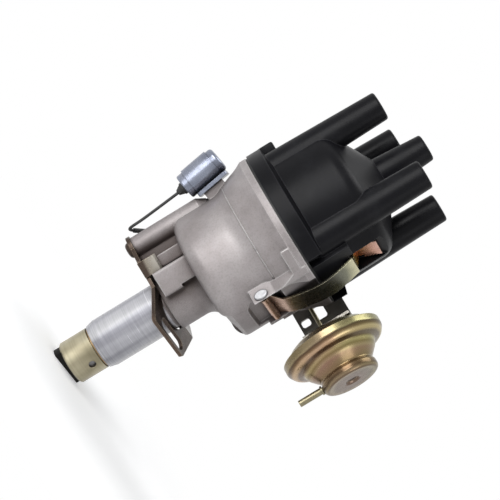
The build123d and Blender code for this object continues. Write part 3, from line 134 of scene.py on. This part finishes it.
def make_camera():
    """Camera rolled so that the upright part lies over to the right, as in the photograph."""
    data = bpy.data.cameras.new("camera")
    camera = bpy.data.objects.new("camera", data)
    bpy.context.scene.collection.objects.link(camera)
    data.sensor_width = 36.0
    data.lens = CAMERA_LENS
    data.clip_start = 0.05
    data.clip_end = 20
    place = Vector(CAMERA_PLACE)
    look = (Vector(CAMERA_TARGET) - place).to_track_quat("-Z", "Y")
    camera.location = place
    camera.rotation_mode = "QUATERNION"
    camera.rotation_quaternion = look @ Quaternion((0, 0, 1), math.radians(CAMERA_ROLL))
    bpy.context.scene.camera = camera


class Mat:
    """Small helper that builds a node material."""

    def __init__(self, name, rounding, **values):
        self.material = bpy.data.materials.new(name)
        self.material.use_nodes = True
        self.nodes = self.material.node_tree.nodes
        self.links = self.material.node_tree.links
        self.shader = self.nodes["Principled BSDF"]
        self.coord = self.nodes.new("ShaderNodeTexCoord").outputs["Object"]
        for socket, value in values.items():
            self.shader.inputs[socket.replace("_", " ")].default_value = value
        bevel = self.nodes.new("ShaderNodeBevel")
        bevel.samples = 6
        bevel.inputs["Radius"].default_value = rounding
        self.rounded = bevel.outputs["Normal"]

    def stretch(self, scale):
        """Coordinates scaled along each axis."""
        node = self.nodes.new("ShaderNodeMapping")
        node.inputs["Scale"].default_value = scale
        self.links.new(self.coord, node.inputs["Vector"])
        return node.outputs["Vector"]

    def noise(self, scale, detail=4.0, rough=0.55, source=None, distortion=0.0):
        node = self.nodes.new("ShaderNodeTexNoise")
        node.inputs["Scale"].default_value = scale
        node.inputs["Detail"].default_value = detail
        node.inputs["Roughness"].default_value = rough
        node.inputs["Distortion"].default_value = distortion
        self.links.new(source or self.coord, node.inputs["Vector"])
        return node.outputs["Fac"]

    def ramp(self, factor, stops):
        """Colour ramp from (place, colour) stops."""
        node = self.nodes.new("ShaderNodeValToRGB")
        elements = node.color_ramp.elements
        while len(elements) < len(stops):
            elements.new(0.5)
        for element, (place, colour) in zip(elements, stops):
            element.position = place
            element.color = (*colour, 1)
        self.links.new(factor, node.inputs["Fac"])
        return node.outputs["Color"]

    def number(self, factor, low, high, start=0.0, end=1.0):
        """Maps start..end of a value to low..high, clamped."""
        node = self.nodes.new("ShaderNodeMapRange")
        node.inputs["From Min"].default_value = start
        node.inputs["From Max"].default_value = end
        node.inputs["To Min"].default_value = low
        node.inputs["To Max"].default_value = high
        self.links.new(factor, node.inputs["Value"])
        return node.outputs["Result"]

    def feed(self, socket, value):
        """Sets a socket to a number or colour, or links it."""
        if isinstance(value, (int, float)):
            socket.default_value = value
        elif isinstance(value, tuple):
            socket.default_value = (*value, 1) if len(socket.default_value) == 4 else value
        else:
            self.links.new(value, socket)

    def mix(self, factor, a, b, blend="MIX"):
        node = self.nodes.new("ShaderNodeMix")
        node.data_type = "RGBA"
        node.blend_type = blend
        for index, value in ((0, factor), (6, a), (7, b)):
            self.feed(node.inputs[index], value)
        return node.outputs[2]

    def math(self, kind, a, b=0.0):
        node = self.nodes.new("ShaderNodeMath")
        node.operation = kind
        self.feed(node.inputs[0], a)
        self.feed(node.inputs[1], b)
        return node.outputs[0]

    def vector(self, kind, a, b=(0.0, 0.0, 0.0), output="Vector"):
        node = self.nodes.new("ShaderNodeVectorMath")
        node.operation = kind
        self.feed(node.inputs[0], a)
        self.feed(node.inputs[1], b)
        return node.outputs[output]

    def height(self):
        """Height above the clamp plate's underside, in metres."""
        node = self.nodes.new("ShaderNodeSeparateXYZ")
        self.links.new(self.coord, node.inputs[0])
        return node.outputs["Z"]

    def edge(self):
        """1 on an edge, 0 on a flat or gently curved face."""
        normal = self.nodes.new("ShaderNodeNewGeometry").outputs["Normal"]
        likeness = self.vector("DOT_PRODUCT", self.rounded, normal, "Value")
        return self.number(likeness, 0.0, 1.0, 0.995, 0.90)

    def shade_mask(self, reach, start=0.35, end=0.9):
        """1 deep in a corner or under an overhang, 0 in the open; it masks painted shade."""
        node = self.nodes.new("ShaderNodeAmbientOcclusion")
        node.samples = 6
        node.inputs["Distance"].default_value = reach
        return self.number(node.outputs["AO"], 1.0, 0.0, start, end)

    def radius(self, foot, axis):
        """Distance from an axis, and distance along it from its foot, in metres."""
        arm = self.vector("SUBTRACT", self.coord, foot)
        along = self.vector("DOT_PRODUCT", arm, axis, "Value")
        scaled = self.nodes.new("ShaderNodeVectorMath")
        scaled.operation = "SCALE"
        scaled.inputs[0].default_value = axis
        self.links.new(along, scaled.inputs["Scale"])
        across = self.vector("SUBTRACT", arm, scaled.outputs["Vector"])
        return self.vector("LENGTH", across, output="Value"), along

    def finish(self, colour, rough, height, strength, distance):
        """Connects colour, roughness and bump, and returns the material."""
        self.links.new(colour, self.shader.inputs["Base Color"])
        self.links.new(rough, self.shader.inputs["Roughness"])
        node = self.nodes.new("ShaderNodeBump")
        node.inputs["Strength"].default_value = strength
        node.inputs["Distance"].default_value = distance
        self.links.new(height, node.inputs["Height"])
        self.links.new(self.rounded, node.inputs["Normal"])
        self.links.new(node.outputs["Normal"], self.shader.inputs["Normal"])
        return self.material


def cast_skin(mat, fine):
    """Warm grey casting: specks, edges paler from wear and painted highlight, painted shade in
    corners and at the neck.
    """
    skin = mat.mix(0.6, mat.ramp(mat.noise(38, 4, 0.6), CAST), mat.ramp(fine, SPECKS), "MULTIPLY")
    # Paler edges: partly rubbed wear, partly a painted highlight
    skin = mat.mix(mat.number(mat.edge(), 0.0, 0.6), skin, (0.68, 0.66, 0.65))
    # Painted shade in corners and under overhangs
    corners = mat.number(mat.shade_mask(0.024, 0.25, 0.85), 0.0, 0.9)
    skin = mat.mix(corners, skin, (0.040, 0.029, 0.026))
    # Painted shade round the neck, under the bowl
    neck = mat.number(mat.height(), 1.0, 0.0, *NECK_TOP)
    shade = mat.math("MULTIPLY", neck, mat.number(mat.shade_mask(0.05, 0.42, 0.95), 0.0, 0.85))
    return mat.mix(shade, skin, (0.075, 0.056, 0.050))


def turned_skin(mat, lines):
    """Bright machined metal with turning lines, long streaks of painted reflection, and painted
    shade in corners.
    """
    # Long vertical streaks of painted reflection, lighter and darker round the shank
    reflection_streaks = mat.ramp(mat.noise(95, 2, 0.5, mat.stretch((1.0, 1.0, 0.06))), REFLECTION_STREAKS)
    skin = mat.mix(1.0, mat.ramp(lines, TURNED), reflection_streaks, "MULTIPLY")
    # Painted shade in corners
    return mat.mix(mat.number(mat.shade_mask(0.006), 0.0, 0.7), skin, (0.10, 0.08, 0.07))


def cast_aluminium():
    """Die casting, with a machined shank below the clamp plate."""
    mat = Mat("cast_aluminium", 0.0013, Metallic=0.35)
    fine = mat.noise(1100, 4, 0.6)
    lines = mat.noise(1400, 2, 0.5, mat.stretch((0.02, 0.02, 1.0)))
    shank = mat.number(mat.height(), 1.0, 0.0, *SHANK_TOP)
    rough_cast = mat.number(fine, 0.40, 0.56)
    rough_turned = mat.number(lines, 0.20, 0.30)
    gap = mat.math("MULTIPLY", mat.math("SUBTRACT", rough_turned, rough_cast), shank)
    grain = mat.math("MULTIPLY", fine, mat.math("SUBTRACT", 1.0, shank))
    rings = mat.math("MULTIPLY", mat.math("MULTIPLY", lines, 0.03), shank)
    skin = mat.mix(shank, cast_skin(mat, fine), turned_skin(mat, lines))
    return mat.finish(skin, mat.math("ADD", rough_cast, gap), mat.math("ADD", grain, rings),
                      0.22, 0.00012)


def black_plastic(name, base, low, high):
    """Moulded black plastic with a fine satin grain, edges greyer from rubbing and painted
    highlight.
    """
    mat = Mat(name, 0.0007, Metallic=0.0, Specular_IOR_Level=0.09)
    dark = tuple(c * 0.8 for c in base)
    light = tuple(c * 1.3 for c in base)
    skin = mat.ramp(mat.noise(35, 3), [(0.3, dark), (0.7, light)])
    # Greyer edges: partly rubbed wear, partly a painted highlight
    skin = mat.mix(mat.number(mat.edge(), 0.0, 0.6), skin, (0.045, 0.045, 0.05))
    fine = mat.noise(2200, 2)
    smudge = mat.noise(55, 3, 0.6)
    dust = mat.number(smudge, 0.0, 0.3, 0.52, 0.75)
    skin = mat.mix(dust, skin, (0.022, 0.022, 0.025))
    rough = mat.math("ADD", mat.number(fine, low, high), mat.number(smudge, -0.05, 0.07, 0.3, 0.7))
    return mat.finish(skin, rough, fine, 0.1, 0.00004)


def plated(name, stops, low, high, scale=38.0, heights=None, edge_highlight=None):
    """Zinc-plated sheet: chromate colours that drift over the surface or change with height,
    painted edge highlights, painted corner shade.
    """
    mat = Mat(name, 0.0003, Metallic=0.85)
    drift = mat.noise(scale, 3, 0.5, distortion=0.8)
    if heights:
        level = mat.number(mat.height(), 0.0, 1.0, *heights)
        drift = mat.math("ADD", level, mat.number(drift, -0.05, 0.05, 0.3, 0.7))
    skin = mat.ramp(drift, stops)
    # Painted highlight along the edges
    if edge_highlight:
        skin = mat.mix(mat.number(mat.edge(), 0.0, 0.5), skin, edge_highlight)
    scuff = mat.noise(260, 4, 0.65)
    skin = mat.mix(mat.number(scuff, 0.0, 0.25, 0.55, 0.75), skin, (0.05, 0.04, 0.03))
    # Painted shade in corners
    skin = mat.mix(mat.number(mat.shade_mask(0.006), 0.0, 0.6), skin, (0.02, 0.017, 0.013))
    rough = mat.number(scuff, low, high, 0.3, 0.7)
    return mat.finish(skin, rough, mat.noise(120, 3), 0.06, 0.0001)


def vacuum_shell():
    """Yellow-chromated stampings: chromate colours with painted reflection bands along the pressed
    steps, painted edge highlights.
    """
    joints = frame["record"]["behaviour"]["joints"]
    slide = next(j for j in joints if j["name"] == "pull_rod_slide")
    low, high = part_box("vacuum_rear_shell")
    foot = (Vector(low) + Vector(high)) / 2
    mat = Mat("vacuum_shell", 0.0005, Metallic=0.85)
    radius, along = mat.radius(tuple(foot), tuple(slide["axis"]))
    drift = mat.noise(30, 3, 0.5, distortion=0.8)
    travel = mat.number(mat.math("SUBTRACT", along, radius), 0.0, 1.0, *BAND_TRAVEL)
    # Painted reflection bands across the pressed steps
    skin = mat.ramp(mat.math("ADD", travel, mat.number(drift, -0.022, 0.022, 0.3, 0.7)), REFLECTION_BANDS)
    level = mat.number(mat.height(), 0.0, 1.0, *VACUUM_HEIGHTS)
    tint = mat.ramp(mat.math("ADD", level, mat.number(drift, -0.25, 0.25, 0.3, 0.7)), VACUUM_TINT)
    skin = mat.mix(0.8, skin, tint, "MULTIPLY")
    # Painted highlight along the edges
    skin = mat.mix(mat.number(mat.edge(), 0.0, 0.7), skin, (0.66, 0.62, 0.40))
    scuff = mat.noise(260, 4, 0.65)
    skin = mat.mix(mat.number(scuff, 0.0, 0.2, 0.55, 0.75), skin, (0.12, 0.09, 0.06))
    rough = mat.number(scuff, 0.20, 0.34, 0.3, 0.7)
    return mat.finish(skin, rough, mat.noise(120, 3), 0.05, 0.0001)


def metal(name, dark, light, low, high):
    """Plain metal with fine marks and painted shade in corners."""
    mat = Mat(name, 0.0003, Metallic=0.9)
    marks = mat.noise(700, 3, 0.5)
    skin = mat.ramp(marks, [(0.3, dark), (0.7, light)])
    # Painted shade in corners
    skin = mat.mix(mat.number(mat.shade_mask(0.004), 0.0, 0.5), skin, (0.06, 0.05, 0.045))
    return mat.finish(skin, mat.number(marks, low, high), marks, 0.08, 0.00003)


def collar_metal():
    """Golden zinc collar whose drive tongue is black, with painted shade in corners."""
    mat = Mat("collar", 0.0005, Metallic=0.8)
    drift = mat.noise(60, 3, 0.5, mat.stretch((1.0, 1.0, 0.4)))
    lines = mat.noise(900, 2, 0.5, mat.stretch((0.02, 0.02, 1.0)))
    turned = mat.number(lines, 0.0, 0.25, 0.45, 0.7)
    gold = mat.mix(turned, mat.ramp(drift, COLLAR), (0.16, 0.14, 0.09))
    # Painted shade in corners
    gold = mat.mix(mat.number(mat.shade_mask(0.004), 0.0, 0.8), gold, (0.03, 0.025, 0.02))
    tongue = mat.number(mat.height(), 1.0, 0.0, *TONGUE_TOP)
    skin = mat.mix(tongue, gold, (0.012, 0.011, 0.010))
    return mat.finish(skin, mat.number(drift, 0.26, 0.42), lines, 0.08, 0.00004)


def matt(name, dark, light, low, high, scale=400.0, depth=0.00008):
    """Rubber, fibre, felt or carbon."""
    mat = Mat(name, 0.0003, Metallic=0.0)
    grain = mat.noise(scale, 4)
    skin = mat.ramp(grain, [(0.3, dark), (0.7, light)])
    return mat.finish(skin, mat.number(grain, low, high), grain, 0.3, depth)


def make_materials():
    """Every material by name; most names are the slots of the part's record."""
    # Edge colours of painted highlight
    plate_edge_highlight = (0.50, 0.41, 0.28)
    clip_edge_highlight = (0.60, 0.54, 0.38)
    olive_edge_highlight = (0.34, 0.31, 0.24)
    black = (0.010, 0.010, 0.010)
    return {
        "cast_aluminium": cast_aluminium(),
        "cap_plastic": black_plastic("cap_plastic", (0.0044, 0.0044, 0.0055), 0.32, 0.42),
        "rotor_plastic": black_plastic("rotor_plastic", (0.03, 0.02, 0.016), 0.38, 0.5),
        "yellow_zinc": plated("yellow_zinc", GOLD, 0.24, 0.38, 26.0),
        "vacuum_shell": vacuum_shell(),
        "olive_zinc": plated("olive_zinc", OLIVE, 0.26, 0.42, edge_highlight=olive_edge_highlight),
        "clip_zinc": plated("clip_zinc", CLIP, 0.20, 0.34, 30.0, CLIP_HEIGHTS, clip_edge_highlight),
        "bronze_zinc": plated("bronze_zinc", BRONZE, 0.22, 0.38, 45.0, PLATE_HEIGHTS, plate_edge_highlight),
        "silver_zinc": plated("silver_zinc", SILVER, 0.22, 0.34, 60.0),
        "steel": metal("steel", (0.26, 0.26, 0.27), (0.37, 0.37, 0.38), 0.42, 0.54),
        "dark_steel": collar_metal(),
        "bronze": metal("bronze", (0.36, 0.24, 0.11), (0.50, 0.35, 0.18), 0.3, 0.42),
        "brass": metal("brass", (0.56, 0.41, 0.17), (0.72, 0.56, 0.26), 0.22, 0.34),
        "black_rubber": matt("black_rubber", black, (0.022, 0.022, 0.022), 0.5, 0.68),
        "red_fibre": matt("red_fibre", (0.24, 0.05, 0.03), (0.36, 0.10, 0.05), 0.5, 0.65),
        "carbon": matt("carbon", (0.03, 0.03, 0.03), (0.06, 0.06, 0.06), 0.4, 0.5),
        "felt": matt("felt", (0.40, 0.36, 0.28), (0.58, 0.52, 0.42), 0.85, 0.98, 900, 0.0003),
    }


def dress(materials):
    """Gives every CAD node its material."""
    special = {"retaining_clip_right": "clip_zinc", "retaining_clip_left": "clip_zinc",
               "vacuum_front_shell": "vacuum_shell", "vacuum_rear_shell": "vacuum_shell"}
    slots = {s["node"]: s["material_slot"] for s in frame["record"]["subparts"]}
    for name, obj in NODES.items():
        obj.data.materials.clear()
        obj.data.materials.append(materials[special.get(name, slots[name])])
        for face in obj.data.polygons:
            face.material_index = 0


def make_lead(material):
    """The condenser's lead as one smooth cord."""
    data = bpy.data.curves.new("lead", "CURVE")
    data.dimensions = "3D"
    spline = data.splines.new("NURBS")
    spline.points.add(len(LEAD_ROUTE) - 1)
    for point, place in zip(spline.points, LEAD_ROUTE):
        point.co = (*place, 1)
    spline.order_u = 3
    spline.use_endpoint_u = True
    spline.resolution_u = 16
    data.bevel_depth = LEAD_RADIUS
    data.bevel_resolution = 5
    data.use_fill_caps = True
    lead = bpy.data.objects.new("lead", data)
    bpy.context.scene.collection.objects.link(lead)
    lead.data.materials.append(material)
    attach(lead, "housing")
    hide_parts("condenser_lead")


def piece(name, verts, faces, body, material):
    """New smooth-shaded mesh piece that rides on a body."""
    mesh = bpy.data.meshes.new(name)
    mesh.from_pydata(verts, [], faces)
    mesh.validate()
    obj = bpy.data.objects.new(name, mesh)
    bpy.context.scene.collection.objects.link(obj)
    mesh.materials.append(material)
    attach(obj, body)
    for face in mesh.polygons:
        face.use_smooth = True
    return obj


def surface_radius(tree, azimuth, z):
    """Outer radius of a mesh at an azimuth (degrees from the front) and a height, or None."""
    turn = math.radians(azimuth)
    out = Vector((math.sin(turn), -math.cos(turn), 0.0))
    hit = tree.ray_cast(out * SEAM_REACH + Vector((0, 0, z)), -out, SEAM_REACH)
    return None if hit[0] is None else Vector((hit[0].x, hit[0].y)).length


def make_seam(material):
    """Low cast line round the bowl, left out where a lug or boss interrupts it."""
    tree = BVHTree.FromObject(NODES["housing"], bpy.context.evaluated_depsgraph_get())
    profile = [(-SEAM_HALF, -SEAM_SINK), (-0.4 * SEAM_HALF, SEAM_RISE),
               (0.4 * SEAM_HALF, SEAM_RISE), (SEAM_HALF, -SEAM_SINK)]
    plain = surface_radius(tree, SEAM_PLAIN_AZIMUTH, SEAM_Z)
    verts = []
    faces = []
    before = False
    for step in range(0, 360 + 2 * SEAM_STEP, SEAM_STEP):
        radii = [surface_radius(tree, step, SEAM_Z + rise) for rise, _ in profile]
        smooth = step <= 360 and None not in radii and abs(radii[1] - plain) < SEAM_TOLERANCE
        if smooth:
            turn = math.radians(step)
            for (rise, out), radius in zip(profile, radii):
                reach = radius + out
                verts.append((math.sin(turn) * reach, -math.cos(turn) * reach, SEAM_Z + rise))
            if before:
                last = len(verts) - 8
                faces += [(last + i, last + i + 1, last + i + 5, last + i + 4) for i in range(3)]
                faces.append((last + 3, last, last + 4, last + 7))
        if smooth != before:
            first = len(verts) - 4
            end = (first + 3, first + 2, first + 1, first)
            faces.append(end if smooth else end[::-1])
        before = smooth
    piece("casting_line", verts, faces, "housing", material)


def make_cap_lug(material):
    """Locating lug with rounded edges on the cap's dome."""
    half = CAP_LUG_WIDTH / 2
    verts = [(x, y, z) for x in CAP_LUG_X for y in (-half, half) for z in CAP_LUG_Z]
    faces = [(0, 1, 3, 2), (4, 6, 7, 5), (0, 4, 5, 1), (2, 3, 7, 6), (0, 2, 6, 4), (1, 5, 7, 3)]
    lug = piece("cap_lug", verts, faces, "cap", material)
    modifier = lug.modifiers.new("round", "BEVEL")
    modifier.width = CAP_LUG_ROUND
    modifier.segments = 4


def seen_rays(nodes, links):
    """1 for camera, glossy and transmission rays, 0 for the light that falls on things."""
    path = nodes.new("ShaderNodeLightPath")
    total = path.outputs["Is Camera Ray"]
    for kind in ("Is Glossy Ray", "Is Transmission Ray"):
        larger = nodes.new("ShaderNodeMath")
        larger.operation = "MAXIMUM"
        links.new(total, larger.inputs[0])
        links.new(path.outputs[kind], larger.inputs[1])
        total = larger.outputs[0]
    return total


def blend(nodes, links, factor, first, second, output):
    """Mixes two shaders by a factor and links them to an output."""
    mix = nodes.new("ShaderNodeMixShader")
    links.new(factor, mix.inputs["Fac"])
    links.new(first, mix.inputs[1])
    links.new(second, mix.inputs[2])
    links.new(mix.outputs[0], nodes[output].inputs["Surface"])


def floor_material():
    """Pale floor that fades to the white of the background away from the object."""
    material = bpy.data.materials.new("floor")
    material.use_nodes = True
    nodes = material.node_tree.nodes
    links = material.node_tree.links
    shader = nodes["Principled BSDF"]
    shader.inputs["Base Color"].default_value = (0.88, 0.88, 0.88, 1)
    shader.inputs["Roughness"].default_value = 0.9
    shader.inputs["Specular IOR Level"].default_value = 0.0
    seen = seen_rays(nodes, links)
    raised = nodes.new("ShaderNodeMath")
    raised.operation = "MULTIPLY"
    raised.inputs[1].default_value = FLOOR_LIFT
    links.new(seen, raised.inputs[0])
    lift = nodes.new("ShaderNodeEmission")
    links.new(raised.outputs[0], lift.inputs["Strength"])
    near = nodes.new("ShaderNodeAddShader")
    links.new(shader.outputs[0], near.inputs[0])
    links.new(lift.outputs[0], near.inputs[1])
    white = nodes.new("ShaderNodeEmission")
    white.inputs["Strength"].default_value = 1.0
    length = nodes.new("ShaderNodeVectorMath")
    length.operation = "LENGTH"
    links.new(nodes.new("ShaderNodeTexCoord").outputs["Object"], length.inputs[0])
    far = nodes.new("ShaderNodeMapRange")
    far.interpolation_type = "SMOOTHSTEP"
    far.inputs["From Min"].default_value = FLOOR_FADE[0]
    far.inputs["From Max"].default_value = FLOOR_FADE[1]
    links.new(length.outputs["Value"], far.inputs["Value"])
    where = nodes.new("ShaderNodeMath")
    where.operation = "MULTIPLY"
    links.new(far.outputs["Result"], where.inputs[0])
    links.new(seen, where.inputs[1])
    blend(nodes, links, where.outputs[0], near.outputs[0], white.outputs[0], "Material Output")
    return material


def make_floor():
    """Plain floor just under the drive tongue."""
    mesh = bpy.data.meshes.new("floor")
    corners = ((-1, -1), (1, -1), (1, 1), (-1, 1))
    mesh.from_pydata([(x * FLOOR_HALF, y * FLOOR_HALF, FLOOR_Z) for x, y in corners],
                     [], [(0, 1, 2, 3)])
    floor = bpy.data.objects.new("floor", mesh)
    bpy.context.scene.collection.objects.link(floor)
    floor.data.materials.append(floor_material())


def make_world():
    """Even pale light on the object, seen as a white background."""
    world = bpy.data.worlds.new("world")
    bpy.context.scene.world = world
    world.use_nodes = True
    nodes = world.node_tree.nodes
    links = world.node_tree.links
    light = nodes["Background"]
    light.inputs["Color"].default_value = (0.94, 0.97, 1.0, 1)
    light.inputs["Strength"].default_value = WORLD_STRENGTH
    white = nodes.new("ShaderNodeBackground")
    white.inputs["Color"].default_value = (1, 1, 1, 1)
    white.inputs["Strength"].default_value = 1.0
    seen = seen_rays(nodes, links)
    blend(nodes, links, seen, light.outputs[0], white.outputs[0], "World Output")


def lamp(name, place, target, power, size):
    """Soft white rectangular light."""
    data = bpy.data.lights.new(name, "AREA")
    data.shape = "RECTANGLE"
    data.size, data.size_y = size
    data.energy = power
    light = bpy.data.objects.new(name, data)
    bpy.context.scene.collection.objects.link(light)
    light.location = place
    aim = Vector(target) - Vector(place)
    light.rotation_mode = "QUATERNION"
    light.rotation_quaternion = aim.to_track_quat("-Z", "Y")


def make_lights():
    """Key from the left and above, a weak fill from the right, and a top light."""
    lamp("key", (-0.66, -0.86, 0.20), (0, 0, 0.06), 14.0, (0.8, 0.7))
    lamp("fill", (0.80, -0.60, 0.40), (0, 0, 0.05), 1.6, (0.5, 0.5))
    lamp("top", (-0.1, 0.15, 0.95), (0, 0, 0.06), 3.5, (0.6, 0.4))


bpy.context.scene.view_settings.view_transform = "Standard"
make_camera()
MATERIALS = make_materials()
dress(MATERIALS)
make_lead(MATERIALS["black_rubber"])
make_seam(MATERIALS["cast_aluminium"])
make_cap_lug(MATERIALS["cap_plastic"])
make_floor()
make_world()
make_lights()
